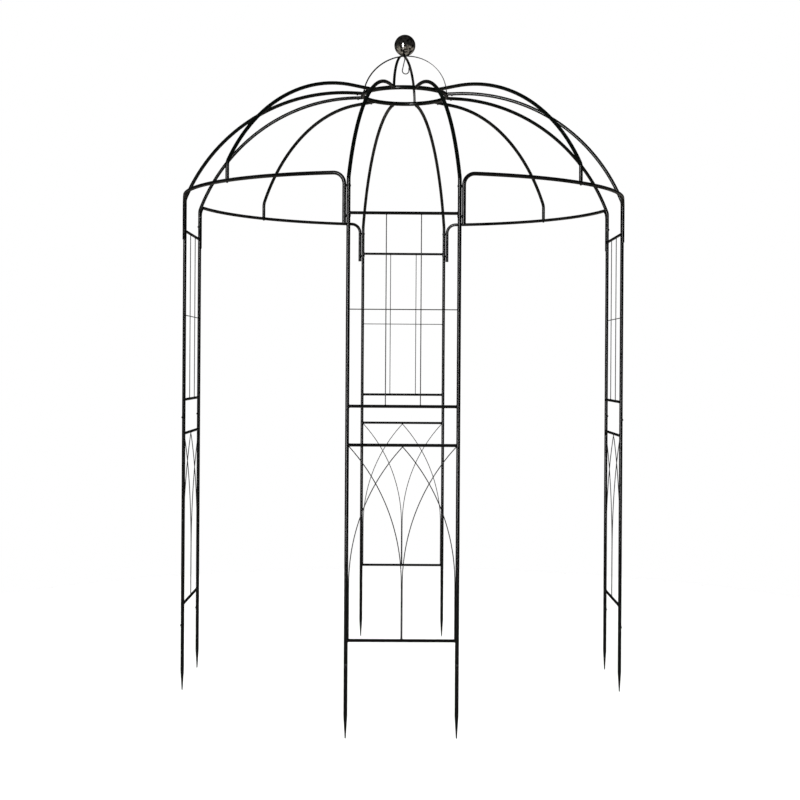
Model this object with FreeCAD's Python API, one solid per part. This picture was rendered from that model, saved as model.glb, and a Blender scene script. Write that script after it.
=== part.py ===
import FreeCAD, Part
import math
import os

# Domed garden pavilion of powder-coated steel tube, for climbing plants.
# Four trellis ladders stand around a circle on ground spikes. A curved arch bar bridges each of
# the four doorways between them. Twelve bent ribs make the dome and slide onto a crown ring,
# which carries two crossing hoops, a ball finial and a hook for a lantern.
#
# Frame: millimetres, +Z up. The origin is on the pavilion's axis, level with the spike tips.
# The front ladder faces -Y, the right one +X, the rear one +Y and the left one -X. The left and
# right side of a ladder are those seen from outside the pavilion.

Vec = FreeCAD.Vector
ORIGIN = Vec(0, 0, 0)
UP = Vec(0, 0, 1)
OUTWARD = Vec(0, -1, 0)  # away from the pavilion on the front ladder

# Plan of the pavilion
PANEL_DISTANCE = 1000.0  # axis to the centre plane of each ladder
PANEL_WIDTH = 444.0  # between the centre lines of a ladder's two uprights
ARCH_MIDDLE_DISTANCE = 1047.0  # axis to the middle of an arch bar

# Heights above the spike tips
SPIKE_TAPER_TOP = 90.0
SPIKE_JOINT = 280.0
LOWER_RAIL_HEIGHTS = (390.0, 1170.0)
LADDER_JOINT = 1230.0
UPPER_RAIL_HEIGHTS = (1325.0, 2097.0)
CROSS_WIRE_HEIGHT = 1712.0
RIB_JOINT = 2145.0
ARCH_FOOT_HEIGHT = 2055.0
ARCH_BAR_HEIGHT = 2258.0
ARCH_BOLT_HEIGHTS = (2085.0, 2206.0)
LATTICE_ARC_HEIGHT = 618.0  # the curved wires are straight below this
CROWN_HEIGHT = 2765.0

# Tubes and wires
TUBE_RADIUS = 8.0
TUBE_WALL = 0.8
TUBE_BORE = TUBE_RADIUS - TUBE_WALL
RAIL_RADIUS = 6.35  # half-inch tube
WIRE_RADIUS = 2.0
WIRE_GAP = 0.05  # half the gap between two wires that cross
UPPER_WIRE_SPACING = 140.0  # between the two upright wires of an upper lattice
RING_RADIUS = 198.0
RING_TUBE_RADIUS = 10.0
RING_WALL = 1.2

# Swaged spigots: the narrowed top of each lower tube, inside the tube above
SPIGOT_RADIUS = TUBE_BORE - 0.1
SPIGOT_BORE = SPIGOT_RADIUS - TUBE_WALL
SPIGOT_LENGTH = 45.0
SHOULDER_HEIGHT = 2.5
SPIGOT_LEAD_IN = 1.5  # length of the tapered rim
SPIGOT_RIM = 0.3  # wall left at the rim

# Ground spikes
SPIKE_TIP_RADIUS = 2.5
SPIKE_SOLID_HEIGHT = 70.0  # the pressed point is solid up to here

# Ribs
LADDER_RIB_RADIUS = 830.0  # bend radius of the dome ribs above the ladders
DOORWAY_RIB_RADIUS = 800.0
RIB_BEND_RADIUS = 50.0  # the short bend above a rib's vertical foot
LADDER_RIB_ARC_CENTRE = 54.0  # outward from the crown ring's centre line
DOORWAY_RIB_ARC_CENTRE = 140.0
LADDER_RIB_CROWN_ANGLE = 14.5  # degrees from the middle of the ladder, at the crown ring
STUB_LENGTH = 42.0
STUB_WALL = 1.5
RIB_END_GAP = 1.5  # between a rib's end and the crown ring
SADDLE_GAP = 0.1  # between a doorway rib's shaped foot and its arch bar
RIB_INSERT_HEIGHT = 16.0  # threaded plug in a doorway rib's foot
RIB_INSERT_CLEARANCE = 0.5  # between the plug and the arch bar

# Arch bars
ARCH_CORNER_RADIUS = 46.0
ARCH_LEG_OFFSET = 17.0  # between the centre lines of an upright and the leg beside it

# Crown: hoops, ball and hook
HOOP_WIDTH = 12.0
HOOP_THICKNESS = 3.0
HOOP_REACH = 203.0  # axis to the middle of the strip, at the crown ring
LOWER_HOOP_RISE = 184.85  # crown ring's plane to the middle of the strip, at the top
HOOP_GAP = 0.15
HOOP_TURN = -14.0  # degrees; the hoops' feet stand over four of the ladder ribs
BALL_RADIUS = 50.0
BALL_WALL = 0.8
BALL_MOUTH_RADIUS = 9.0
HOOK_WIRE_RADIUS = 2.5
HOOK_BOWL_RADIUS = 15.5
HOOK_BOWL_OFFSET = 4.0
HOOK_BOWL_DROP = 64.0  # centre of the bowl below the hoops' crossing
HOOK_SHANK_DROP = 10.0  # straight shank below the hoops' crossing
HOOK_THREAD_LENGTH = 13.0  # of the shank, inside the ball's boss
HOOK_TOP_BEND_RADIUS = 9.0
HOOK_LIP_LENGTH = 14.0
BOSS_COLLAR_HEIGHT = 2.0  # of the boss above the ball's mouth
BOSS_NECK_RADIUS = 7.0
BOSS_NECK_HEIGHT = 14.0
BOSS_ROOF = 2.0  # solid metal above the boss's thread

# Fasteners
SCREW_RADIUS = 2.1
SCREW_LENGTH = 10.0
SCREW_POINT = (0.9, 3.0)  # radius and length of the tapered end
SCREW_HEAD_RADIUS = 4.2
SCREW_HEAD_HEIGHT = 2.8
SCREW_ABOVE_JOINT = 14.0
BOLT_RADIUS = 2.5
BOLT_POINT = (1.9, 0.8)
BOLT_CLEARANCE = 0.1
BOLT_HEAD_RADIUS = 4.8
BOLT_HEAD_HEIGHT = 3.0
LOW_HEAD_HEIGHT = 1.6  # of the bolts through the uprights
BUSH_RADIUS = 4.0  # threaded bushes in the walls of the arch legs
BUSH_LENGTH = 9.0
BUSH_BOLT_SHORT = 1.5  # an arch leg's bolt ends this far inside its bush
RIB_BOLT_SHORT = 2.0  # a doorway rib's bolt ends this far below the top of its plug
PRESS_GAP = 0.05  # round a part that is pressed into another
NUT_ACROSS_FLATS = 8.0
NUT_HEIGHT = 4.0
SPACER_RADIUS = 5.5
SOCKET_WIDTH = 1.1
SOCKET_LENGTH = 4.4
SOCKET_DEPTH = 1.4
HEAD_RIM_SHARE = 0.35  # of the head's height, upright
HEAD_SHOULDER_SHARES = (0.86, 0.75)  # of the head's radius and height
HEAD_TOP_SHARE = 0.6  # of the head's radius, flat

LADDER_TURNS = {"front": 0, "right": 90, "rear": 180, "left": 270}
DOORWAY_TURNS = {"front_right": 0, "rear_right": 90, "rear_left": 180, "front_left": 270}
SIDES = {"left": -1, "right": 1}
HALF_WIDTH = PANEL_WIDTH / 2
DOORWAY = Vec(math.sqrt(0.5), -math.sqrt(0.5), 0)  # from the axis to the front right doorway


# ---------------------------------------------------------------- helpers

def turned(outline):
    """Solid of revolution about +Z from (radius, height) points."""
    points = [Vec(radius, 0, height) for radius, height in outline]
    face = Part.Face(Part.makePolygon(points + points[:1]))
    return face.revolve(ORIGIN, UP, 360)


def placed(shape, position, direction=UP):
    """Copy of a shape with its +Z turned to a direction and its origin moved to a position."""
    copy = shape.copy()
    copy.Placement = FreeCAD.Placement(position, FreeCAD.Rotation(UP, direction))
    return copy


def turn_about_axis(shape, degrees):
    """Copy of a shape turned about the pavilion's axis."""
    copy = shape.copy()
    copy.rotate(ORIGIN, UP, degrees)
    return copy


def rod(start, end, radius):
    """Solid round bar between two points."""
    run = end - start
    return Part.makeCylinder(radius, run.Length, start, run)


def straight_tube(start, end, radius, wall):
    return rod(start, end, radius).cut(rod(start, end, radius - wall))


def drilled(shape, start, end, radius):
    """Shape with a straight hole between two points."""
    return shape.cut(rod(start, end, radius))


def line(start, end):
    return Part.LineSegment(start, end).toShape()


def arc(centre, radius, first, last, across, along):
    """Arc edge between two angles in degrees, measured from direction across to along."""
    def point(angle):
        turn = math.radians(angle)
        return centre + across * (radius * math.cos(turn)) + along * (radius * math.sin(turn))

    return Part.Arc(point(first), point((first + last) / 2), point(last)).toShape()


def swept(edges, radius, wall=None):
    """Round bar along a smooth path, or a tube where a wall is given."""
    path = Part.Wire(edges)
    start = edges[0].valueAt(edges[0].FirstParameter)
    direction = edges[0].tangentAt(edges[0].FirstParameter)

    def filled(section_radius):
        section = Part.Face(Part.Wire(Part.makeCircle(section_radius, start, direction)))
        return path.makePipe(section)

    bar = filled(radius)
    if wall is None:
        return bar
    return bar.cut(filled(radius - wall))


def group(solids):
    return Part.makeCompound(solids)


# ---------------------------------------------------------------- fasteners

def cross_socket(top):
    """Cross-shaped driver recess, cut down from the top of a head."""
    bars = []
    for length, width in ((SOCKET_LENGTH, SOCKET_WIDTH), (SOCKET_WIDTH, SOCKET_LENGTH)):
        corner = Vec(-length / 2, -width / 2, top - SOCKET_DEPTH)
        bars.append(Part.makeBox(length, width, SOCKET_DEPTH + 1, corner))
    return bars[0].fuse(bars[1])


def pan_head(radius, height, shank_radius, shank_length, point):
    """Screw with its head above z = 0 and its shank below."""
    point_radius, point_length = point
    shoulder_radius, shoulder_height = HEAD_SHOULDER_SHARES
    outline = [
        (0, -shank_length),
        (point_radius, -shank_length),
        (shank_radius, point_length - shank_length),
        (shank_radius, 0),
        (radius, 0),
        (radius, height * HEAD_RIM_SHARE),
        (radius * shoulder_radius, height * shoulder_height),
        (radius * HEAD_TOP_SHARE, height),
        (0, height),
    ]
    return turned(outline).cut(cross_socket(height))


def joint_screw():
    return pan_head(SCREW_HEAD_RADIUS, SCREW_HEAD_HEIGHT, SCREW_RADIUS, SCREW_LENGTH, SCREW_POINT)


def bolt(length, head_height):
    return pan_head(BOLT_HEAD_RADIUS, head_height, BOLT_RADIUS, length, BOLT_POINT)


def hex_nut(bore_radius, across_flats, height):
    """Nut standing on z = 0, with a plain bore and chamfered corners."""
    corner_radius = across_flats / math.sqrt(3)
    corners = []
    for index in range(7):
        turn = math.radians(60 * index)
        corners.append(Vec(corner_radius * math.cos(turn), corner_radius * math.sin(turn), 0))
    prism = Part.Face(Part.makePolygon(corners)).extrude(UP * height)
    edge = across_flats / 2
    chamfer = corner_radius - edge
    rounded = turned([
        (0, 0), (edge, 0), (corner_radius, chamfer), (corner_radius, height - chamfer),
        (edge, height), (0, height),
    ])
    return prism.common(rounded).cut(Part.makeCylinder(bore_radius, height))


# ---------------------------------------------------------------- ladders

def upright_outline(bottom, top):
    """Half section of a plain tube with a swaged spigot above its joint line."""
    tip = top + SPIGOT_LENGTH
    return [
        (TUBE_BORE, bottom),
        (TUBE_RADIUS, bottom),
        (TUBE_RADIUS, top - SHOULDER_HEIGHT),
        (SPIGOT_RADIUS, top),
        (SPIGOT_RADIUS, tip - SPIGOT_LEAD_IN),
        (SPIGOT_BORE + SPIGOT_RIM, tip),
        (SPIGOT_BORE, tip),
        (SPIGOT_BORE, top),
        (TUBE_BORE, top - SHOULDER_HEIGHT - TUBE_WALL),
    ]


def joint_hole(shape, x, joint_height):
    """Screw hole through the outward wall of a tube, just above a joint line."""
    middle = Vec(x, -PANEL_DISTANCE, joint_height + SCREW_ABOVE_JOINT)
    return drilled(shape, middle, middle + OUTWARD * (2 * TUBE_RADIUS), SCREW_RADIUS)


def bolt_hole(shape, x, height):
    """Bolt hole straight through a tube that stands in the plane of the front ladder."""
    middle = Vec(x, -PANEL_DISTANCE, height)
    across = Vec(2 * TUBE_RADIUS, 0, 0)
    return drilled(shape, middle - across, middle + across, BOLT_RADIUS + BOLT_CLEARANCE)


def upright(side, bottom, top):
    """Upright of the front ladder, with the screw holes at its foot and in its spigot."""
    x = side * HALF_WIDTH
    tube = turned(upright_outline(bottom, top))
    tube.translate(Vec(x, -PANEL_DISTANCE, 0))
    tube = joint_hole(tube, x, bottom)
    return joint_hole(tube, x, top)


def rail(height):
    """Cross rail between the uprights, its ends shaped to the uprights' round sides."""
    start = Vec(-HALF_WIDTH, -PANEL_DISTANCE, height)
    end = Vec(HALF_WIDTH, -PANEL_DISTANCE, height)
    tube = straight_tube(start, end, RAIL_RADIUS, TUBE_WALL)
    for side in SIDES.values():
        foot = Vec(side * HALF_WIDTH, -PANEL_DISTANCE, height - 2 * RAIL_RADIUS)
        tube = tube.cut(Part.makeCylinder(TUBE_RADIUS, 4 * RAIL_RADIUS, foot))
    return tube


def lower_frame():
    """Welded frame of a lower ladder section: two uprights and two rails."""
    uprights = [upright(side, SPIKE_JOINT, LADDER_JOINT) for side in SIDES.values()]
    return group(uprights + [rail(height) for height in LOWER_RAIL_HEIGHTS])


def upper_frame():
    """Welded frame of an upper ladder section, drilled for the lower arch leg bolts."""
    uprights = []
    for side in SIDES.values():
        tube = upright(side, LADDER_JOINT, RIB_JOINT)
        uprights.append(bolt_hole(tube, side * HALF_WIDTH, ARCH_BOLT_HEIGHTS[0]))
    return group(uprights + [rail(height) for height in UPPER_RAIL_HEIGHTS])


def trimmed_to_rails(wire, rail_heights):
    """Wire with its ends shaped to the rails that it is welded to."""
    for height in rail_heights:
        start = Vec(-PANEL_WIDTH, -PANEL_DISTANCE, height)
        wire = wire.cut(Part.makeCylinder(RAIL_RADIUS, 2 * PANEL_WIDTH, start, Vec(1, 0, 0)))
    return wire


def main_solid(shape):
    """Largest solid of a shape, without the offcuts of a trim."""
    return max(shape.Solids, key=lambda solid: solid.Volume)


def half_bay():
    """Space between a lower ladder's middle plane, its right upright and its two rails."""
    bottom, top = LOWER_RAIL_HEIGHTS
    corner = Vec(WIRE_GAP, -PANEL_DISTANCE - RAIL_RADIUS, bottom)
    space = Part.makeBox(HALF_WIDTH, 2 * RAIL_RADIUS, top - bottom, corner)
    beyond = Vec(HALF_WIDTH, -PANEL_DISTANCE - RAIL_RADIUS, bottom)
    space = space.cut(Part.makeBox(HALF_WIDTH, 2 * RAIL_RADIUS, top - bottom, beyond))
    post = Part.makeCylinder(TUBE_RADIUS, top - bottom, Vec(HALF_WIDTH, -PANEL_DISTANCE, bottom))
    return trimmed_to_rails(space.cut(post), LOWER_RAIL_HEIGHTS)


def bent_wire(x_top, x_bottom, depth):
    """Lattice wire: straight at its foot, then an arc that meets the top rail's underside."""
    bottom, top = LOWER_RAIL_HEIGHTS
    rise = top - RAIL_RADIUS - LATTICE_ARC_HEIGHT
    reach = x_top - x_bottom
    radius = (reach * reach + rise * rise) / (2 * abs(reach))
    across = Vec(math.copysign(1, reach), 0, 0)
    foot = Vec(x_bottom, -PANEL_DISTANCE + depth, bottom)
    knee = foot + UP * (LATTICE_ARC_HEIGHT - bottom)
    sweep = math.degrees(math.asin((rise + WIRE_RADIUS) / radius))
    bend = arc(knee + across * radius, radius, 0, sweep, -across, UP)
    return main_solid(swept([line(foot, knee), bend], WIRE_RADIUS).common(half_bay()))


def lower_lattice():
    """Four bent wires that cross into pointed arches inside a lower ladder section."""
    upright_side = HALF_WIDTH - TUBE_RADIUS
    beside_upright = upright_side - WIRE_RADIUS - WIRE_GAP
    beside_middle = WIRE_RADIUS + WIRE_GAP
    depth = WIRE_RADIUS + WIRE_GAP
    wires = [bent_wire(0, beside_upright, -depth), bent_wire(upright_side, beside_middle, depth)]
    return group(wires + [wire.mirror(ORIGIN, Vec(1, 0, 0)) for wire in wires])


def upper_lattice():
    """Two upright wires and one cross wire inside an upper ladder section."""
    bottom, top = UPPER_RAIL_HEIGHTS
    depth = WIRE_RADIUS + WIRE_GAP
    wires = []
    for side in SIDES.values():
        x = side * UPPER_WIRE_SPACING / 2
        y = -PANEL_DISTANCE + depth
        wire = rod(Vec(x, y, bottom), Vec(x, y, top), WIRE_RADIUS)
        wires.append(main_solid(trimmed_to_rails(wire, UPPER_RAIL_HEIGHTS)))
    y = -PANEL_DISTANCE - depth
    start = Vec(-HALF_WIDTH, y, CROSS_WIRE_HEIGHT)
    cross = rod(start, start + Vec(PANEL_WIDTH, 0, 0), WIRE_RADIUS)
    for side in SIDES.values():
        foot = Vec(side * HALF_WIDTH, -PANEL_DISTANCE, CROSS_WIRE_HEIGHT - TUBE_RADIUS)
        cross = cross.cut(Part.makeCylinder(TUBE_RADIUS, 2 * TUBE_RADIUS, foot))
    wires.append(main_solid(cross))
    return group(wires)


def ground_spike(side):
    """Tube pressed to a blunt point, with a swaged spigot for the ladder above."""
    tip = SPIKE_JOINT + SPIGOT_LENGTH
    spike = turned([
        (0, 0),
        (SPIKE_TIP_RADIUS, 0),
        (TUBE_RADIUS, SPIKE_TAPER_TOP),
        (TUBE_RADIUS, SPIKE_JOINT - SHOULDER_HEIGHT),
        (SPIGOT_RADIUS, SPIKE_JOINT),
        (SPIGOT_RADIUS, tip - SPIGOT_LEAD_IN),
        (SPIGOT_BORE + SPIGOT_RIM, tip),
        (SPIGOT_BORE, tip),
        (SPIGOT_BORE, SPIKE_JOINT),
        (TUBE_BORE, SPIKE_JOINT - SHOULDER_HEIGHT - TUBE_WALL),
        (TUBE_BORE, SPIKE_TAPER_TOP + TUBE_WALL),
        (0, SPIKE_SOLID_HEIGHT),
    ])
    x = side * HALF_WIDTH
    spike.translate(Vec(x, -PANEL_DISTANCE, 0))
    return joint_hole(spike, x, SPIKE_JOINT)


# ---------------------------------------------------------------- dome

def ladder_rib_line(side):
    """Ring point, foot point and level direction of a ladder rib, all in plan."""
    turn = math.radians(LADDER_RIB_CROWN_ANGLE)
    ring_point = Vec(side * RING_RADIUS * math.sin(turn), -RING_RADIUS * math.cos(turn), 0)
    foot = Vec(side * HALF_WIDTH, -PANEL_DISTANCE, 0)
    direction = foot - ring_point
    direction.normalize()
    return ring_point, foot, direction


def rib_path(ring_point, direction, reach, foot_height, arc_centre, arc_radius):
    """Path of a dome rib: upright foot, short bend, long arc, then level onto the crown."""
    def at(out, height):
        return ring_point + direction * out + UP * height

    centre_height = CROWN_HEIGHT - arc_radius
    bend_out = reach - RIB_BEND_RADIUS
    bend_rise = math.sqrt((arc_radius - RIB_BEND_RADIUS) ** 2 - (bend_out - arc_centre) ** 2)
    bend_height = centre_height + bend_rise
    bend_angle = math.degrees(math.atan2(bend_rise, bend_out - arc_centre))
    ring_end = RING_TUBE_RADIUS + RIB_END_GAP
    return [
        line(at(reach, foot_height), at(reach, bend_height)),
        arc(at(bend_out, bend_height), RIB_BEND_RADIUS, 0, bend_angle, direction, UP),
        arc(at(arc_centre, centre_height), arc_radius, bend_angle, 90, direction, UP),
        line(at(arc_centre, CROWN_HEIGHT), at(ring_end, CROWN_HEIGHT)),
    ]


def crown_screw_place(ring_point, direction):
    """Head seat of the screw that holds a rib on its stub, on the underside of the rib."""
    out = RING_TUBE_RADIUS + STUB_LENGTH / 2
    return ring_point + direction * out + UP * (CROWN_HEIGHT - TUBE_RADIUS)


def crown_hole(shape, ring_point, direction):
    seat = crown_screw_place(ring_point, direction)
    return drilled(shape, seat - UP, seat + UP * TUBE_RADIUS, SCREW_RADIUS)


def ladder_rib(side):
    """Dome rib that carries on from one upright of the front ladder."""
    ring_point, foot, direction = ladder_rib_line(side)
    reach = (foot - ring_point).Length
    path = rib_path(ring_point, direction, reach, RIB_JOINT,
                    LADDER_RIB_ARC_CENTRE, LADDER_RIB_RADIUS)
    tube = swept(path, TUBE_RADIUS, TUBE_WALL)
    tube = joint_hole(tube, foot.x, RIB_JOINT)
    tube = bolt_hole(tube, foot.x, ARCH_BOLT_HEIGHTS[1])
    return crown_hole(tube, ring_point, direction)


def mid_rib():
    """Dome rib that stands on the middle of the front right arch bar."""
    ring_point = DOORWAY * RING_RADIUS
    reach = ARCH_MIDDLE_DISTANCE - RING_RADIUS
    path = rib_path(ring_point, DOORWAY, reach, ARCH_BAR_HEIGHT,
                    DOORWAY_RIB_ARC_CENTRE, DOORWAY_RIB_RADIUS)
    tube = swept(path, TUBE_RADIUS, TUBE_WALL)
    reach_across = DOORWAY.cross(UP) * (2 * TUBE_RADIUS)
    seat = DOORWAY * ARCH_MIDDLE_DISTANCE + UP * ARCH_BAR_HEIGHT
    tube = drilled(tube, seat - reach_across, seat + reach_across, TUBE_RADIUS + SADDLE_GAP)
    return crown_hole(main_solid(tube), ring_point, DOORWAY)


def stub(ring_point, direction):
    """Short tube welded to the outside of the crown ring, inside a rib's end."""
    start = ring_point + UP * CROWN_HEIGHT
    end = start + direction * (RING_TUBE_RADIUS + STUB_LENGTH)
    tube = straight_tube(start, end, SPIGOT_RADIUS, STUB_WALL)
    tube = main_solid(tube.cut(crown_torus(RING_TUBE_RADIUS)))
    return crown_hole(tube, ring_point, direction)


def crown_torus(section_radius):
    return Part.makeTorus(RING_RADIUS, section_radius, UP * CROWN_HEIGHT)


def crown_directions():
    """Ring point and rib direction of the ladder and doorway ribs on one side of the crown."""
    places = [(DOORWAY * RING_RADIUS, DOORWAY)]
    for side in SIDES.values():
        ring_point, foot, direction = ladder_rib_line(side)
        places.append((ring_point, direction))
    return places


def crown_ring():
    ring = crown_torus(RING_TUBE_RADIUS).cut(crown_torus(RING_TUBE_RADIUS - RING_WALL))
    return main_solid(ring)


def crown_ring_stubs():
    """The twelve stubs of the crown ring, one inside the end of each rib."""
    return group(on_every_ladder([stub(*place) for place in crown_directions()]))


# ---------------------------------------------------------------- arch bars

def arch_plan():
    """Plan of the front right arch: its two legs, arc centre and arc radius.

    Each leg stands beside an upright, in the plane of its ladder. The bar's arc passes through
    the given middle point and runs level and tangent into each rounded corner.
    """
    first_leg = Vec(HALF_WIDTH + ARCH_LEG_OFFSET, -PANEL_DISTANCE, 0)
    second_leg = Vec(PANEL_DISTANCE, -HALF_WIDTH - ARCH_LEG_OFFSET, 0)
    along = first_leg.dot(DOORWAY)
    half_chord = (second_leg - first_leg).Length / 2
    target = ARCH_MIDDLE_DISTANCE ** 2 + ARCH_CORNER_RADIUS ** 2 - along ** 2 - half_chord ** 2
    centre_distance = target / (2 * (ARCH_MIDDLE_DISTANCE - along))
    return first_leg, second_leg, DOORWAY * centre_distance, ARCH_MIDDLE_DISTANCE - centre_distance


def arch_corner(leg, arc_centre, arc_radius):
    """Plan point where the bar's arc ends beside a leg, and the level direction to that leg."""
    to_leg = leg - arc_centre
    swing = math.degrees(math.atan2(ARCH_CORNER_RADIUS, arc_radius))
    side = 1 if DOORWAY.cross(to_leg).z > 0 else -1
    radial = FreeCAD.Rotation(UP, -side * swing).multVec(to_leg.normalize())
    end = arc_centre + radial * arc_radius
    direction = leg - end
    direction.normalize()
    return end, direction


def bush_holes(shape, leg, toward_upright):
    """Holes for the threaded bushes, in the side of an arch leg that faces its upright."""
    for height in ARCH_BOLT_HEIGHTS:
        middle = leg + UP * height
        side = middle + toward_upright * (2 * TUBE_RADIUS)
        shape = drilled(shape, middle, side, BUSH_RADIUS + PRESS_GAP)
    return shape


def arch_bar():
    """Curved bar over the front right doorway, bent down into a leg at each end."""
    first_leg, second_leg, arc_centre, arc_radius = arch_plan()
    bar = UP * ARCH_BAR_HEIGHT
    bend_drop = UP * (ARCH_BAR_HEIGHT - ARCH_CORNER_RADIUS)
    foot = UP * ARCH_FOOT_HEIGHT
    first_end, first_way = arch_corner(first_leg, arc_centre, arc_radius)
    second_end, second_way = arch_corner(second_leg, arc_centre, arc_radius)
    middle = DOORWAY * ARCH_MIDDLE_DISTANCE
    path = [
        line(first_leg + foot, first_leg + bend_drop),
        arc(first_end + bend_drop, ARCH_CORNER_RADIUS, 0, 90, first_way, UP),
        Part.Arc(first_end + bar, middle + bar, second_end + bar).toShape(),
        arc(second_end + bend_drop, ARCH_CORNER_RADIUS, 90, 0, second_way, UP),
        line(second_leg + bend_drop, second_leg + foot),
    ]
    tube = swept(path, TUBE_RADIUS, TUBE_WALL)
    tube = bush_holes(tube, first_leg, Vec(-1, 0, 0))
    tube = bush_holes(tube, second_leg, Vec(0, 1, 0))
    under = middle + UP * (ARCH_BAR_HEIGHT - 2 * TUBE_RADIUS)
    over = middle + UP * (ARCH_BAR_HEIGHT + 2 * TUBE_RADIUS)
    return drilled(tube, under, over, BOLT_RADIUS + BOLT_CLEARANCE)


# ---------------------------------------------------------------- finial and hook

def oval_disc(reach, rise):
    """Upright oval slab as wide as the hoops' strip, centred on the crown ring."""
    long_axis, short_axis = max(reach, rise), min(reach, rise)
    centre = Vec(0, -HOOP_WIDTH / 2, CROWN_HEIGHT)
    oval = Part.Ellipse(centre, long_axis, short_axis).toShape()
    oval.rotate(centre, Vec(1, 0, 0), 90)
    return Part.Face(Part.Wire(oval)).extrude(Vec(0, HOOP_WIDTH, 0))


def hoop(rise, turn):
    """Flat steel hoop over the crown ring, its feet shaped to the ring."""
    half = HOOP_THICKNESS / 2
    strip = oval_disc(HOOP_REACH + half, rise + half).cut(oval_disc(HOOP_REACH - half, rise - half))
    span = 2 * RING_RADIUS
    below = Part.makeBox(2 * span, span, span, Vec(-span, -span / 2, CROWN_HEIGHT - span))
    strip = strip.cut(below).cut(crown_torus(RING_TUBE_RADIUS))
    centre = UP * CROWN_HEIGHT
    strip = drilled(strip, centre, centre + UP * (2 * rise), HOOK_WIRE_RADIUS + BOLT_CLEARANCE)
    return turn_about_axis(main_solid(strip), turn)


def hoops_crossing():
    """Height of the underside of the lower hoop on the pavilion's axis."""
    return CROWN_HEIGHT + LOWER_HOOP_RISE - HOOP_THICKNESS / 2


def hoops_top():
    return hoops_crossing() + 2 * HOOP_THICKNESS + HOOP_GAP


def ball_centre():
    """Height of the ball's centre: its mouth rests on the threaded boss above the hoops."""
    return hoops_top() + math.sqrt(BALL_RADIUS ** 2 - BALL_MOUTH_RADIUS ** 2)


def finial_ball():
    """Hollow polished ball, open at the bottom where the threaded boss sits."""
    centre = UP * ball_centre()
    outer = Part.makeSphere(BALL_RADIUS, centre)
    shell = outer.cut(Part.makeSphere(BALL_RADIUS - BALL_WALL, centre))
    return drilled(shell, centre, centre - UP * (2 * BALL_RADIUS), BALL_MOUTH_RADIUS)


def finial_boss():
    """Threaded boss in the ball's mouth, which clamps the ball onto the two hoops."""
    bottom = hoops_top()
    inner_radius = BALL_RADIUS - BALL_WALL
    collar = ball_centre() - math.sqrt(inner_radius ** 2 - BALL_MOUTH_RADIUS ** 2)
    collar_top = collar + BOSS_COLLAR_HEIGHT
    neck_top = collar_top + BOSS_NECK_HEIGHT
    boss = turned([
        (0, bottom),
        (BALL_MOUTH_RADIUS - PRESS_GAP, bottom),
        (BALL_MOUTH_RADIUS - PRESS_GAP, collar_top),
        (BOSS_NECK_RADIUS, collar_top),
        (BOSS_NECK_RADIUS, neck_top),
        (0, neck_top),
    ])
    return drilled(boss, UP * bottom, UP * (neck_top - BOSS_ROOF), HOOK_WIRE_RADIUS)


def lantern_hook():
    """Wire hook whose threaded shank passes up through both hoops into the boss."""
    crossing = hoops_crossing()
    bowl = Vec(HOOK_BOWL_OFFSET, 0, crossing - HOOK_BOWL_DROP)
    shank_end = Vec(0, 0, crossing - HOOK_SHANK_DROP)
    way_up = shank_end - bowl
    opening = math.acos(HOOK_BOWL_RADIUS / way_up.Length)
    touch_angle = math.atan2(way_up.z, way_up.x) + opening
    right = Vec(1, 0, 0)
    touch = bowl + right * (HOOK_BOWL_RADIUS * math.cos(touch_angle)) \
        + UP * (HOOK_BOWL_RADIUS * math.sin(touch_angle))
    slope = shank_end - touch
    slope.normalize()
    lean = math.acos(slope.z)
    trim = HOOK_TOP_BEND_RADIUS * math.tan(lean / 2)
    bend_start = shank_end + UP * trim
    bend_centre = bend_start - right * HOOK_TOP_BEND_RADIUS
    lip_start = bowl + right * HOOK_BOWL_RADIUS
    path = [
        line(Vec(0, 0, hoops_top() + HOOK_THREAD_LENGTH), bend_start),
        arc(bend_centre, HOOK_TOP_BEND_RADIUS, 0, -math.degrees(lean), right, UP),
        line(shank_end - slope * trim, touch),
        arc(bowl, HOOK_BOWL_RADIUS, math.degrees(touch_angle), 360, right, UP),
        line(lip_start, lip_start + UP * HOOK_LIP_LENGTH),
    ]
    return swept(path, HOOK_WIRE_RADIUS - WIRE_GAP)


def hook_nut():
    nut = hex_nut(HOOK_WIRE_RADIUS, NUT_ACROSS_FLATS, NUT_HEIGHT)
    return placed(nut, UP * (hoops_crossing() - NUT_HEIGHT - HOOP_GAP))


# ---------------------------------------------------------------- groups of fasteners

def on_every_ladder(shapes):
    """Shapes of the front ladder, repeated on all four ladders."""
    return [turn_about_axis(shape, turn) for turn in LADDER_TURNS.values() for shape in shapes]


def joint_screws(joint_height):
    """Screws of one level of tube joints, their heads on the outside."""
    screws = []
    for side in SIDES.values():
        seat = Vec(side * HALF_WIDTH, -PANEL_DISTANCE - TUBE_RADIUS,
                   joint_height + SCREW_ABOVE_JOINT)
        screws.append(placed(joint_screw(), seat, OUTWARD))
    return group(on_every_ladder(screws))


def arch_fixings(fixing, offset_from_upright, facing):
    """Copies of a fixing wherever an arch leg is bolted to the ladder beside it.

    The fixing's +Z points away from the ladder where facing is 1, and into it where it is -1.
    """
    fixings = []
    for side in SIDES.values():
        outward = Vec(side, 0, 0)
        for height in ARCH_BOLT_HEIGHTS:
            upright_axis = Vec(side * HALF_WIDTH, -PANEL_DISTANCE, height)
            seat = upright_axis + outward * offset_from_upright
            fixings.append(placed(fixing, seat, outward * facing))
    return group(on_every_ladder(fixings))


def arch_leg_bolts():
    """Bolts with low heads, from the inner side of each upright into the leg beside it."""
    grip = ARCH_LEG_OFFSET  # both are a tube's diameter and the gap between the tubes
    length = grip + BUSH_LENGTH - BUSH_BOLT_SHORT
    return arch_fixings(bolt(length, LOW_HEAD_HEIGHT), -TUBE_RADIUS, -1)


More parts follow.
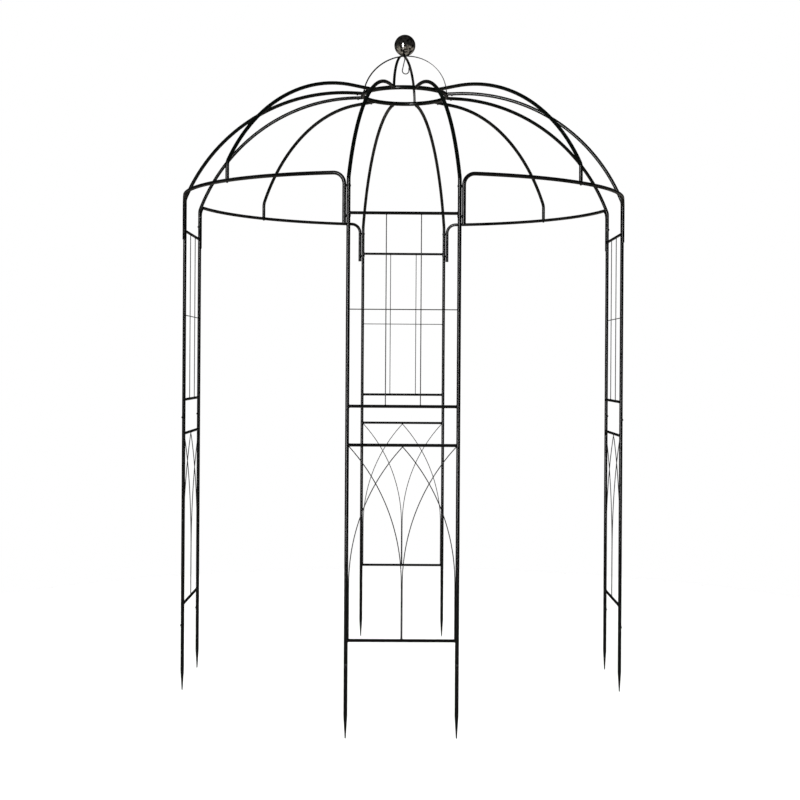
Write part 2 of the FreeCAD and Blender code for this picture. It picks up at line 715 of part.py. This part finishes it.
def arch_leg_bushes():
    """Threaded bushes in the walls of the arch legs."""
    bush = turned([
        (BOLT_RADIUS, 0), (BUSH_RADIUS, 0), (BUSH_RADIUS, BUSH_LENGTH), (BOLT_RADIUS, BUSH_LENGTH),
    ])
    return arch_fixings(bush, ARCH_LEG_OFFSET - TUBE_RADIUS, 1)


def arch_leg_spacers():
    """Washers that fill the gap between each leg and the upright beside it."""
    gap = ARCH_LEG_OFFSET - 2 * TUBE_RADIUS
    bore = BOLT_RADIUS + BOLT_CLEARANCE
    washer = turned([(bore, 0), (SPACER_RADIUS, 0), (SPACER_RADIUS, gap), (bore, gap)])
    return arch_fixings(washer, TUBE_RADIUS, 1)


def at_every_doorway(shape):
    return group([turn_about_axis(shape, turn) for turn in DOORWAY_TURNS.values()])


def mid_rib_bolt():
    """Bolt up through the middle of an arch bar into the rib that stands on it."""
    seat = DOORWAY * ARCH_MIDDLE_DISTANCE + UP * (ARCH_BAR_HEIGHT - TUBE_RADIUS)
    length = 2 * TUBE_RADIUS + RIB_INSERT_HEIGHT - RIB_BOLT_SHORT
    return placed(bolt(length, BOLT_HEAD_HEIGHT), seat, -UP)


def mid_rib_insert():
    """Threaded plug pressed into the foot of a doorway rib."""
    foot = ARCH_BAR_HEIGHT + TUBE_RADIUS + RIB_INSERT_CLEARANCE
    radius = TUBE_BORE - PRESS_GAP
    plug = turned([
        (BOLT_RADIUS, 0), (radius, 0), (radius, RIB_INSERT_HEIGHT), (BOLT_RADIUS, RIB_INSERT_HEIGHT),
    ])
    return placed(plug, DOORWAY * ARCH_MIDDLE_DISTANCE + UP * foot)


def crown_screws():
    """Screws that hold the twelve ribs on the crown ring's stubs, from below."""
    screws = []
    for ring_point, direction in crown_directions():
        screws.append(placed(joint_screw(), crown_screw_place(ring_point, direction), -UP))
    return group(on_every_ladder(screws))


# ---------------------------------------------------------------- assembly

def ladder_nodes():
    nodes = {}
    sections = {
        "lower_frame": lower_frame(),
        "lower_lattice": lower_lattice(),
        "upper_frame": upper_frame(),
        "upper_lattice": upper_lattice(),
    }
    for side_name, side in SIDES.items():
        sections["ground_spike_" + side_name] = ground_spike(side)
        sections["dome_rib_" + side_name] = ladder_rib(side)
    for ladder_name, turn in LADDER_TURNS.items():
        for section_name, shape in sections.items():
            nodes[ladder_name + "_" + section_name] = turn_about_axis(shape, turn)
    return nodes


def doorway_nodes():
    nodes = {}
    bar = arch_bar()
    rib = mid_rib()
    for doorway_name, turn in DOORWAY_TURNS.items():
        nodes[doorway_name + "_arch_bar"] = turn_about_axis(bar, turn)
        nodes[doorway_name + "_doorway_rib"] = turn_about_axis(rib, turn)
    return nodes


def crown_nodes():
    upper_hoop_rise = LOWER_HOOP_RISE + HOOP_THICKNESS + HOOP_GAP
    return {
        "crown_ring": crown_ring(),
        "crown_ring_stubs": crown_ring_stubs(),
        "lower_hoop": hoop(LOWER_HOOP_RISE, HOOP_TURN + 90),
        "upper_hoop": hoop(upper_hoop_rise, HOOP_TURN),
        "finial_ball": finial_ball(),
        "finial_boss": finial_boss(),
        "lantern_hook": lantern_hook(),
        "lantern_hook_nut": hook_nut(),
    }


def fastener_nodes():
    return {
        "ground_spike_screws": joint_screws(SPIKE_JOINT),
        "ladder_joint_screws": joint_screws(LADDER_JOINT),
        "rib_joint_screws": joint_screws(RIB_JOINT),
        "arch_leg_bolts": arch_leg_bolts(),
        "arch_leg_bushes": arch_leg_bushes(),
        "arch_leg_spacers": arch_leg_spacers(),
        "doorway_rib_bolts": at_every_doorway(mid_rib_bolt()),
        "doorway_rib_inserts": at_every_doorway(mid_rib_insert()),
        "crown_screws": crown_screws(),
    }


def write_parts():
    os.makedirs("parts", exist_ok=True)
    nodes = {**ladder_nodes(), **doorway_nodes(), **crown_nodes(), **fastener_nodes()}
    for name, shape in nodes.items():
        shape.exportStep("parts/" + name + ".step")
        print(name, len(shape.Solids), "solids", round(shape.Volume), "mm3", shape.isValid())


write_parts()
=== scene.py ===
import itertools
import math

import bmesh
import bpy
from mathutils import Matrix, Vector, noise


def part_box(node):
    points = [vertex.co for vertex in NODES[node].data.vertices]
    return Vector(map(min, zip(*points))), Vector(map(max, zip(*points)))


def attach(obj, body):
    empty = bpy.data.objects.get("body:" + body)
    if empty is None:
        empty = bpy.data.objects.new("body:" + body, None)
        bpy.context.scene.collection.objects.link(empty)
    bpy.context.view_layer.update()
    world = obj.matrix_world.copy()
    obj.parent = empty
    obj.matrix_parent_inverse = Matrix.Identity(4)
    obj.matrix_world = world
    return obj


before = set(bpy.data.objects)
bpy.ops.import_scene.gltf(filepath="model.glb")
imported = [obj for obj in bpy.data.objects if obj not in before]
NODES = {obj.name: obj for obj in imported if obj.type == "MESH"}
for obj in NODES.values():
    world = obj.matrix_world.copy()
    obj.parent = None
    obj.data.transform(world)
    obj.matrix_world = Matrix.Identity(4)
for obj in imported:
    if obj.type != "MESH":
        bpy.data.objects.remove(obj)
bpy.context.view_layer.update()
LADDERS = ("front", "right", "rear", "left")
UP = Vector((0, 0, 1))

# Sockets of a Mix node that blends colours
MIX_FACTOR, MIX_FIRST, MIX_SECOND = 0, 6, 7
MIX_RESULT = 2

# Sizes of the welded pieces, in metres
RAIL_RADIUS = 0.00635
WIRE_RADIUS = 0.002
HOOP_HALF_WIDTH = 0.006
HOOP_HALF_THICKNESS = 0.0015

# Radii of the weld beads, in metres
RAIL_BEAD = 0.0017  # between a rail and an upright
WIRE_BEAD = 0.0011  # between a wire and a rail
CROSS_WIRE_BEAD = 0.0010
HOOP_BEAD = 0.0012

# Shape of the weld beads
BEAD_SIDES = 8
SEAM_POINTS = 20
HOOP_SEAM_POINTS = 32
RIPPLE_SIZE = 0.16  # share of the bead's radius
RIPPLE_TURN = 2.4  # radians from one point of a seam to the next
UNEVEN_SIZE = 0.18  # share of the bead's radius
UNEVEN_SCALE = 300
NEXT_LADDER_SEED = 40.0
HOOP_FOOT_SQUARENESS = 1.4  # 1 would make the seam an oval

# Where the seams are found on the pieces' meshes, in metres
WIRE_END_DEPTH = 0.0012  # points this close to the end height belong to the wires' ends
WIRE_END_GAP = 0.004  # points further apart than this belong to two wires
HOOP_FOOT_DEPTH = 0.003  # points this close to a hoop's lowest point belong to its feet

# Camera, level and looking along +Y
CAMERA_PLACE = (-0.0049, -6.3280, 1.4982)  # metres
CAMERA_TURN = 0.00781  # radians, toward +X
CAMERA_ROLL = 0.00624
CAMERA_SHIFT = (-0.0154, -0.0461)  # shares of the sensor's width
LENS = 60.06  # millimetres
SENSOR_WIDTH = 36.0
CLIP_END = 100  # metres

# Stage and lamps: metres and watts
FLOOR_RADIUS = 3.4
FLOOR_DROP = 0.0005
KEY_PLACE = (-2.15, -5.8, 2.0)
KEY_TARGET = (0, 0, 2.0)
KEY_SIZE = (0.8, 4.0)
KEY_POWER = 190
OVERHEAD_PLACE = (0, 0, 6.0)
OVERHEAD_TARGET = (0, 0, 0)
OVERHEAD_SIZE = (13.0, 13.0)
OVERHEAD_POWER = 1250


# ---------------------------------------------------------------- materials

class Shader:
    """A node tree with a Principled shader, and short calls to build it."""

    def __init__(self, name):
        self.material = bpy.data.materials.new(name)
        self.material.use_nodes = True
        self.tree = self.material.node_tree
        self.tree.nodes.clear()
        self.output = self.tree.nodes.new("ShaderNodeOutputMaterial")
        self.bsdf = self.tree.nodes.new("ShaderNodeBsdfPrincipled")
        self.link(self.bsdf.outputs["BSDF"], self.output.inputs["Surface"])
        self.place = self.tree.nodes.new("ShaderNodeTexCoord").outputs["Object"]

    def link(self, source, target):
        self.tree.links.new(source, target)

    def feed(self, source, name):
        """Connect a socket to the input of the Principled shader with this name."""
        self.link(source, self.bsdf.inputs[name])

    def set(self, **values):
        for key, value in values.items():
            self.bsdf.inputs[key.replace("_", " ")].default_value = value

    def noise(self, scale, detail=3.0, rough=0.5, stretch=None):
        node = self.tree.nodes.new("ShaderNodeTexNoise")
        node.inputs["Scale"].default_value = scale
        node.inputs["Detail"].default_value = detail
        node.inputs["Roughness"].default_value = rough
        self.link(self.stretched(stretch) if stretch else self.place, node.inputs["Vector"])
        return node.outputs["Fac"]

    def cells(self, scale):
        node = self.tree.nodes.new("ShaderNodeTexVoronoi")
        node.inputs["Scale"].default_value = scale
        self.link(self.place, node.inputs["Vector"])
        return node.outputs["Distance"]

    def stretched(self, factors):
        node = self.tree.nodes.new("ShaderNodeMapping")
        node.inputs["Scale"].default_value = factors
        self.link(self.place, node.inputs["Vector"])
        return node.outputs["Vector"]

    def ramp(self, source, *stops):
        """Colour ramp: each stop is (position, grey or colour)."""
        node = self.tree.nodes.new("ShaderNodeValToRGB")
        band = node.color_ramp
        while len(band.elements) < len(stops):
            band.elements.new(0.5)
        for element, (position, colour) in zip(band.elements, stops):
            element.position = position
            grey = isinstance(colour, (int, float))
            element.color = (colour, colour, colour, 1) if grey else (*colour, 1)
        self.link(source, node.inputs["Fac"])
        return node.outputs["Color"]

    def mix(self, factor, first, second):
        """Blend from a first colour to a second; the second may be a grey."""
        node = self.tree.nodes.new("ShaderNodeMix")
        node.data_type = "RGBA"
        self.link(factor, node.inputs[MIX_FACTOR])
        self.link(first, node.inputs[MIX_FIRST])
        grey = isinstance(second, float)
        node.inputs[MIX_SECOND].default_value = (second,) * 3 + (1,) if grey else (*second, 1)
        return node.outputs[MIX_RESULT]

    def product(self, first, second):
        node = self.tree.nodes.new("ShaderNodeMath")
        node.operation = "MULTIPLY"
        self.link(first, node.inputs[0])
        self.link(second, node.inputs[1])
        return node.outputs[0]

    def facing_up(self):
        geometry = self.tree.nodes.new("ShaderNodeNewGeometry")
        node = self.tree.nodes.new("ShaderNodeSeparateXYZ")
        self.link(geometry.outputs["Normal"], node.inputs[0])
        return node.outputs["Z"]

    def bump(self, source, strength, distance, under=None):
        node = self.tree.nodes.new("ShaderNodeBump")
        node.inputs["Strength"].default_value = strength
        node.inputs["Distance"].default_value = distance
        self.link(source, node.inputs["Height"])
        if under is not None:
            self.link(under, node.inputs["Normal"])
        return node.outputs["Normal"]


def scaled(colour, factor):
    return tuple(part * factor for part in colour)


def powder_coat(name, tone=(0.0020, 0.0021, 0.0022), roughness=0.15):
    """Satin black powder coat: orange peel, fine grit, cloudy gloss, dust on top, rubbed patches."""
    s = Shader(name)
    clouds = s.noise(scale=2.6, detail=4.0, rough=0.55)
    dust_spots = s.noise(scale=38.0, detail=5.0, rough=0.62)
    rubbed = s.noise(scale=11.0, detail=6.0, rough=0.7, stretch=(1.0, 1.0, 0.25))
    colour = s.ramp(clouds, (0.3, scaled(tone, 0.70)), (0.7, scaled(tone, 1.35)))
    worn = s.ramp(rubbed, (0.62, 0.0), (0.80, 0.35))
    colour = s.mix(worn, colour, scaled(tone, 2.4))
    settled = s.product(s.ramp(s.facing_up(), (0.70, 0.0), (1.0, 1.0)),
                        s.ramp(dust_spots, (0.50, 0.0), (0.78, 0.16)))
    s.feed(s.mix(settled, colour, (0.030, 0.029, 0.026)), "Base Color")
    uneven_gloss = s.noise(scale=6.0, detail=5.0, rough=0.6)
    gloss = s.ramp(uneven_gloss, (0.25, roughness - 0.03), (0.75, roughness + 0.04))
    gloss = s.mix(worn, gloss, roughness + 0.06)
    s.feed(s.mix(settled, gloss, 0.60), "Roughness")
    orange_peel = s.noise(scale=260.0, detail=2.0, rough=0.45)
    peel = s.bump(orange_peel, strength=0.05, distance=0.00006)
    s.feed(s.bump(s.cells(scale=900.0), strength=0.03, distance=0.00002, under=peel), "Normal")
    s.set(Metallic=0.0, IOR=1.5)
    return s.material


def black_zinc(name):
    """Black passivated screws: metallic, with fine grain and scuffs down to bright spots."""
    s = Shader(name)
    scuffs = s.noise(scale=260.0, detail=6.0, rough=0.7)
    s.feed(s.ramp(scuffs, (0.35, (0.030, 0.030, 0.031)), (0.60, (0.075, 0.075, 0.076)),
                  (0.8, (0.22, 0.22, 0.22))), "Base Color")
    s.feed(s.ramp(s.noise(scale=120.0, detail=4.0), (0.3, 0.24), (0.7, 0.42)), "Roughness")
    s.feed(s.bump(s.noise(scale=1800.0), strength=0.2, distance=0.00005), "Normal")
    s.set(Metallic=0.85)
    return s.material


def dark_mirror(name):
    """Polished dark metal of the ball: a mirror with faint haze, dust and a smoky tone."""
    s = Shader(name)
    smoke = s.noise(scale=14.0, detail=4.0, rough=0.6)
    tone = s.ramp(smoke, (0.3, (0.50, 0.48, 0.455)), (0.7, (0.62, 0.60, 0.565)))
    specks = s.ramp(s.noise(scale=520.0, detail=2.0), (0.68, 0.0), (0.80, 0.25))
    s.feed(s.mix(specks, tone, (0.22, 0.21, 0.20)), "Base Color")
    haze = s.ramp(s.noise(scale=24.0, detail=5.0, rough=0.65), (0.35, 0.09), (0.75, 0.15))
    s.feed(s.mix(specks, haze, 0.5), "Roughness")
    s.feed(s.bump(s.noise(scale=16.0), strength=0.08, distance=0.0008), "Normal")
    s.set(Metallic=1.0)
    return s.material


def black_nylon(name):
    """Matte black plastic of the washers, finely grained."""
    s = Shader(name)
    grain = s.noise(scale=300.0, detail=4.0)
    s.feed(s.ramp(grain, (0.3, (0.012, 0.012, 0.012)), (0.7, (0.024, 0.024, 0.025))), "Base Color")
    s.feed(s.ramp(s.noise(scale=90.0), (0.3, 0.5), (0.7, 0.66)), "Roughness")
    s.feed(s.bump(s.noise(scale=2400.0), strength=0.3, distance=0.00006), "Normal")
    return s.material


COAT = powder_coat("satin_black_powder_coat")
WIRE_COAT = powder_coat("satin_black_wire_coat", tone=(0.0016, 0.0017, 0.0018), roughness=0.28)
CROWN_COAT = powder_coat("satin_black_crown_coat", tone=(0.0008, 0.0016, 0.0011), roughness=0.20)
ZINC = black_zinc("black_zinc")
WELD_COAT = powder_coat("satin_black_coat_on_welds", roughness=0.12)
MIRROR = dark_mirror("dark_mirror")
NYLON = black_nylon("black_nylon")


def material_for(node):
    if node == "finial_ball":
        return MIRROR
    if node == "arch_leg_spacers":
        return NYLON
    if any(word in node for word in ("screws", "bolts", "bushes", "nut", "insert", "boss", "hook")):
        return ZINC
    if "lattice" in node:
        return WIRE_COAT
    if any(word in node for word in ("crown", "hoop", "dome_rib", "doorway_rib")):
        return CROWN_COAT
    return COAT


for node_name, node_object in NODES.items():
    node_object.data.materials.clear()
    node_object.data.materials.append(material_for(node_name))


# ---------------------------------------------------------------- weld beads

def bead_rings(mesh, path, radius, seed):
    """Rings of points around a closed path, swelling and shrinking like weld ripples."""
    rings = []
    side = None
    for index, point in enumerate(path):
        along = (path[(index + 1) % len(path)] - path[index - 1]).normalized()
        side = along.orthogonal() if side is None else side - along * side.dot(along)
        side.normalize()
        other = along.cross(side)
        uneven = noise.noise(point * UNEVEN_SCALE + Vector((seed, 0, 0)))
        ripple = 1 + RIPPLE_SIZE * math.sin(index * RIPPLE_TURN + seed) + UNEVEN_SIZE * uneven
        ring = []
        for step in range(BEAD_SIDES):
            turn = 2 * math.pi * step / BEAD_SIDES
            out = side * math.cos(turn) + other * math.sin(turn)
            ring.append(mesh.verts.new(point + out * radius * ripple))
        rings.append(ring)
    return rings


def bead(mesh, path, radius, seed):
    """Rippled weld bead along a closed path of points, added to a bmesh."""
    rings = bead_rings(mesh, path, radius, seed)
    steps = range(BEAD_SIDES)
    for first, second in zip(rings, rings[1:] + rings[:1]):
        shift = 0
        if first is rings[-1]:
            shift = min(steps, key=lambda k: (first[0].co - second[k].co).length)
        for step in steps:
            a, b = first[step], first[(step + 1) % BEAD_SIDES]
            c = second[(step + 1 + shift) % BEAD_SIDES]
            d = second[(step + shift) % BEAD_SIDES]
            mesh.faces.new((a, b, c, d))


def finish_piece(mesh, name, material):
    """Object from a bmesh, with a material, riding on the root body."""
    data = bpy.data.meshes.new(name)
    bmesh.ops.recalc_face_normals(mesh, faces=mesh.faces)
    mesh.to_mesh(data)
    mesh.free()
    for polygon in data.polygons:
        polygon.use_smooth = True
    data.materials.append(material)
    piece = bpy.data.objects.new(name, data)
    bpy.context.scene.collection.objects.link(piece)
    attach(piece, "root")


def box_of(node):
    low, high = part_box(node)
    return Vector(low), Vector(high)


def turned(points, quarter_turns):
    turn = Matrix.Rotation(math.radians(90 * quarter_turns), 3, "Z")
    return [turn @ p for p in points]


def seam(point, count=SEAM_POINTS):
    """Closed path from a function of the cosine and sine of the way around."""
    turns = [2 * math.pi * step / count for step in range(count)]
    return [Vector(point(math.cos(turn), math.sin(turn))) for turn in turns]


def seam_on_upright(side, y, z, radius):
    """Where a round bar ends against an upright of the front ladder; y from the ladder's plane."""
    def point(cosine, sine):
        across = y + radius * sine
        x = side * (UPRIGHT_X - math.sqrt(UPRIGHT_RADIUS ** 2 - across ** 2))
        return x, PLANE_Y + across, z + radius * cosine
    return seam(point)


def seam_on_rail(x, y, rail_z, facing, half_width):
    """Where a wire ends against a rail of the front ladder, above (1) or below (-1) the rail."""
    def point(cosine, sine):
        across = y + WIRE_RADIUS * sine
        rise = facing * math.sqrt(RAIL_RADIUS ** 2 - across ** 2)
        return x + half_width * cosine, PLANE_Y + across, rail_z + rise
    return seam(point)


def wire_ends(node, z):
    """Middle, side of the plane and half width of each wire end at this height."""
    near = [v.co for v in NODES[node].data.vertices if abs(v.co.z - z) < WIRE_END_DEPTH]
    near.sort(key=lambda p: p.x)
    groups = [[near[0]]]
    for p in near[1:]:
        if p.x - groups[-1][-1].x < WIRE_END_GAP:
            groups[-1].append(p)
        else:
            groups.append([p])
    ends = []
    for group in groups:
        half_width = max((group[-1].x - group[0].x) / 2, WIRE_RADIUS)
        behind = sum(p.y - PLANE_Y for p in group) > 0
        ends.append(((group[0].x + group[-1].x) / 2, 1 if behind else -1, half_width))
    return ends


def rail_seams(node):
    """Seams of the two rails above and below a lattice, each with the radius of its bead."""
    seams = []
    low, high = box_of(node)
    depth = (high.y - low.y) / 2
    reach = math.sqrt(RAIL_RADIUS ** 2 - depth ** 2)
    for wire_z, facing in ((low.z, 1), (high.z, -1)):
        rail_z = wire_z - facing * reach
        for side in (-1, 1):
            seams.append((seam_on_upright(side, 0, rail_z, RAIL_RADIUS), RAIL_BEAD))
        for x, behind, half_width in wire_ends(node, wire_z):
            y = behind * (depth - WIRE_RADIUS)
            seams.append((seam_on_rail(x, y, rail_z, facing, half_width), WIRE_BEAD))
    return seams


def cross_wire_seams():
    """Seams of the cross wire of the upper lattice, each with the radius of its bead."""
    inner_side = UPRIGHT_X - UPRIGHT_RADIUS
    tips = [v.co for v in NODES["front_upper_lattice"].data.vertices if v.co.x > inner_side]
    y = sum(p.y for p in tips) / len(tips) - PLANE_Y
    z = sum(p.z for p in tips) / len(tips)
    return [(seam_on_upright(side, y, z, WIRE_RADIUS), CROSS_WIRE_BEAD) for side in (-1, 1)]


def squared(share):
    """Share of the way from the middle to the side of a rounded rectangle."""
    return max(-1, min(1, HOOP_FOOT_SQUARENESS * share))


def hoop_foot_seam(node, sign):
    """Around one foot of a hoop, on the skin of the crown ring."""
    ring_low, ring_high = box_of("crown_ring")
    tube = (ring_high.z - ring_low.z) / 2
    ring_z = (ring_high.z + ring_low.z) / 2
    ring_radius = ring_high.x - tube
    low, high = box_of(node)
    axis = 0 if high.x > high.y else 1
    points = [v.co for v in NODES[node].data.vertices if v.co[axis] * sign > 0]
    foot = [p for p in points if p.z < low.z + HOOP_FOOT_DEPTH]
    middle = sum(foot, Vector()) / len(foot)
    out = Vector((middle.x, middle.y, 0)).normalized()
    across = out.cross(UP)

    def point(cosine, sine):
        spot = middle + across * HOOP_HALF_WIDTH * squared(cosine)
        spot += out * HOOP_HALF_THICKNESS * squared(sine)
        away = math.hypot(spot.x, spot.y) - ring_radius
        return spot.x, spot.y, ring_z + math.sqrt(max(tube ** 2 - away ** 2, 0))
    return seam(point, HOOP_SEAM_POINTS)


def place_welds():
    seams = rail_seams("front_lower_lattice") + rail_seams("front_upper_lattice")
    seams += cross_wire_seams()
    for turns, ladder in enumerate(LADDERS):
        mesh = bmesh.new()
        for number, (path, radius) in enumerate(seams):
            bead(mesh, turned(path, turns), radius, number + NEXT_LADDER_SEED * turns)
        finish_piece(mesh, f"{ladder}_ladder_welds", WELD_COAT)
    mesh = bmesh.new()
    feet = itertools.product(("lower_hoop", "upper_hoop"), (-1, 1))
    for number, (node, sign) in enumerate(feet):
        bead(mesh, hoop_foot_seam(node, sign), HOOP_BEAD, number)
    finish_piece(mesh, "hoop_foot_welds", WELD_COAT)


FRAME_LOW, FRAME_HIGH = box_of("front_lower_frame")
UPRIGHT_RADIUS = (FRAME_HIGH.y - FRAME_LOW.y) / 2
UPRIGHT_X = FRAME_HIGH.x - UPRIGHT_RADIUS
PLANE_Y = (FRAME_LOW.y + FRAME_HIGH.y) / 2
place_welds()


# ---------------------------------------------------------------- stage

def floor():
    mesh = bmesh.new()
    bmesh.ops.create_circle(mesh, cap_ends=True, segments=128, radius=FLOOR_RADIUS)
    data = bpy.data.meshes.new("floor")
    mesh.to_mesh(data)
    mesh.free()
    s = Shader("pale_floor")
    s.feed(s.ramp(s.noise(scale=0.8, detail=2.0), (0.3, 0.86), (0.7, 0.90)), "Base Color")
    s.set(Roughness=0.9)
    data.materials.append(s.material)
    plane = bpy.data.objects.new("floor", data)
    plane.location = (0, 0, -FLOOR_DROP)
    plane.visible_glossy = False
    bpy.context.scene.collection.objects.link(plane)


def softbox(name, place, target, size, power, in_gloss=True):
    """Rectangular lamp that faces a target and isn't seen by the camera."""
    light = bpy.data.lights.new(name, "AREA")
    light.shape = "RECTANGLE"
    light.size, light.size_y = size
    light.energy = power
    lamp = bpy.data.objects.new(name, light)
    lamp.location = place
    lamp.rotation_euler = (Vector(target) - Vector(place)).to_track_quat("-Z", "Y").to_euler()
    lamp.visible_camera = False
    lamp.visible_glossy = in_gloss
    bpy.context.scene.collection.objects.link(lamp)


def world_ramp(tree, source, start, end):
    """Colour ramp in the world's tree; start and end are (position, colour)."""
    node = tree.nodes.new("ShaderNodeValToRGB")
    for element, (position, colour) in zip(node.color_ramp.elements, (start, end)):
        element.position = position
        element.color = (*colour, 1)
    tree.links.new(source, node.inputs["Fac"])
    return node.outputs["Color"]


def world_mix(tree, factor, first):
    """Blend in the world's tree: its result and the input of its second colour."""
    node = tree.nodes.new("ShaderNodeMix")
    node.data_type = "RGBA"
    tree.links.new(factor, node.inputs[MIX_FACTOR])
    tree.links.new(first, node.inputs[MIX_FIRST])
    return node.outputs[MIX_RESULT], node.inputs[MIX_SECOND]


def world_height(tree, way):
    """0 straight down, 0.5 at the horizon and 1 straight up."""
    parts = tree.nodes.new("ShaderNodeSeparateXYZ")
    tree.links.new(way, parts.inputs[0])
    height = tree.nodes.new("ShaderNodeMath")
    height.operation = "MULTIPLY_ADD"
    height.inputs[1].default_value = 0.5
    height.inputs[2].default_value = 0.5
    tree.links.new(parts.outputs["Z"], height.inputs[0])
    return height.outputs[0]


def world_streaks(tree, way):
    node = tree.nodes.new("ShaderNodeTexNoise")
    node.inputs["Scale"].default_value = 2.4
    node.inputs["Detail"].default_value = 2.0
    tree.links.new(way, node.inputs["Vector"])
    return node.outputs["Fac"]


def surroundings():
    """White to the camera; in reflections dark above the horizon and streaky beige below it."""
    world = bpy.data.worlds.new("studio")
    bpy.context.scene.world = world
    world.use_nodes = True
    tree = world.node_tree
    way = tree.nodes.new("ShaderNodeTexCoord").outputs["Generated"]
    streaks = world_streaks(tree, way)
    ground = world_ramp(tree, streaks, (0.44, (0.012, 0.011, 0.010)), (0.56, (0.46, 0.43, 0.38)))
    sky = world_ramp(tree, streaks, (0.42, (0.003, 0.003, 0.003)), (0.60, (0.040, 0.039, 0.038)))
    ground_share = world_ramp(tree, world_height(tree, way), (0.30, (1, 1, 1)), (0.52, (0, 0, 0)))
    around, below = world_mix(tree, ground_share, sky)
    tree.links.new(ground, below)
    camera_ray = tree.nodes.new("ShaderNodeLightPath").outputs["Is Camera Ray"]
    seen, to_camera = world_mix(tree, camera_ray, around)
    to_camera.default_value = (1.0, 1.0, 1.0, 1)
    tree.links.new(seen, tree.nodes["Background"].inputs["Color"])


def studio():
    surroundings()
    softbox("key", KEY_PLACE, KEY_TARGET, KEY_SIZE, KEY_POWER)
    softbox("overhead", OVERHEAD_PLACE, OVERHEAD_TARGET, OVERHEAD_SIZE, OVERHEAD_POWER,
            in_gloss=False)


def camera():
    """Camera at the photograph's angle: level, with a slight turn and roll and a small shift."""
    data = bpy.data.cameras.new("camera")
    data.sensor_width = SENSOR_WIDTH
    data.lens = LENS
    data.shift_x, data.shift_y = CAMERA_SHIFT
    data.clip_end = CLIP_END
    forward = Vector((math.sin(CAMERA_TURN), math.cos(CAMERA_TURN), 0))
    level = forward.cross(UP)
    right = level * math.cos(CAMERA_ROLL) + UP * math.sin(CAMERA_ROLL)
    over = UP * math.cos(CAMERA_ROLL) - level * math.sin(CAMERA_ROLL)
    x, y, z = CAMERA_PLACE
    eye = bpy.data.objects.new("camera", data)
    eye.matrix_world = Matrix((
        (right.x, over.x, -forward.x, x),
        (right.y, over.y, -forward.y, y),
        (right.z, over.z, -forward.z, z),
        (0, 0, 0, 1),
    ))
    bpy.context.scene.collection.objects.link(eye)
    bpy.context.scene.camera = eye


floor()
studio()
camera()
bpy.context.scene.view_settings.view_transform = "Standard"
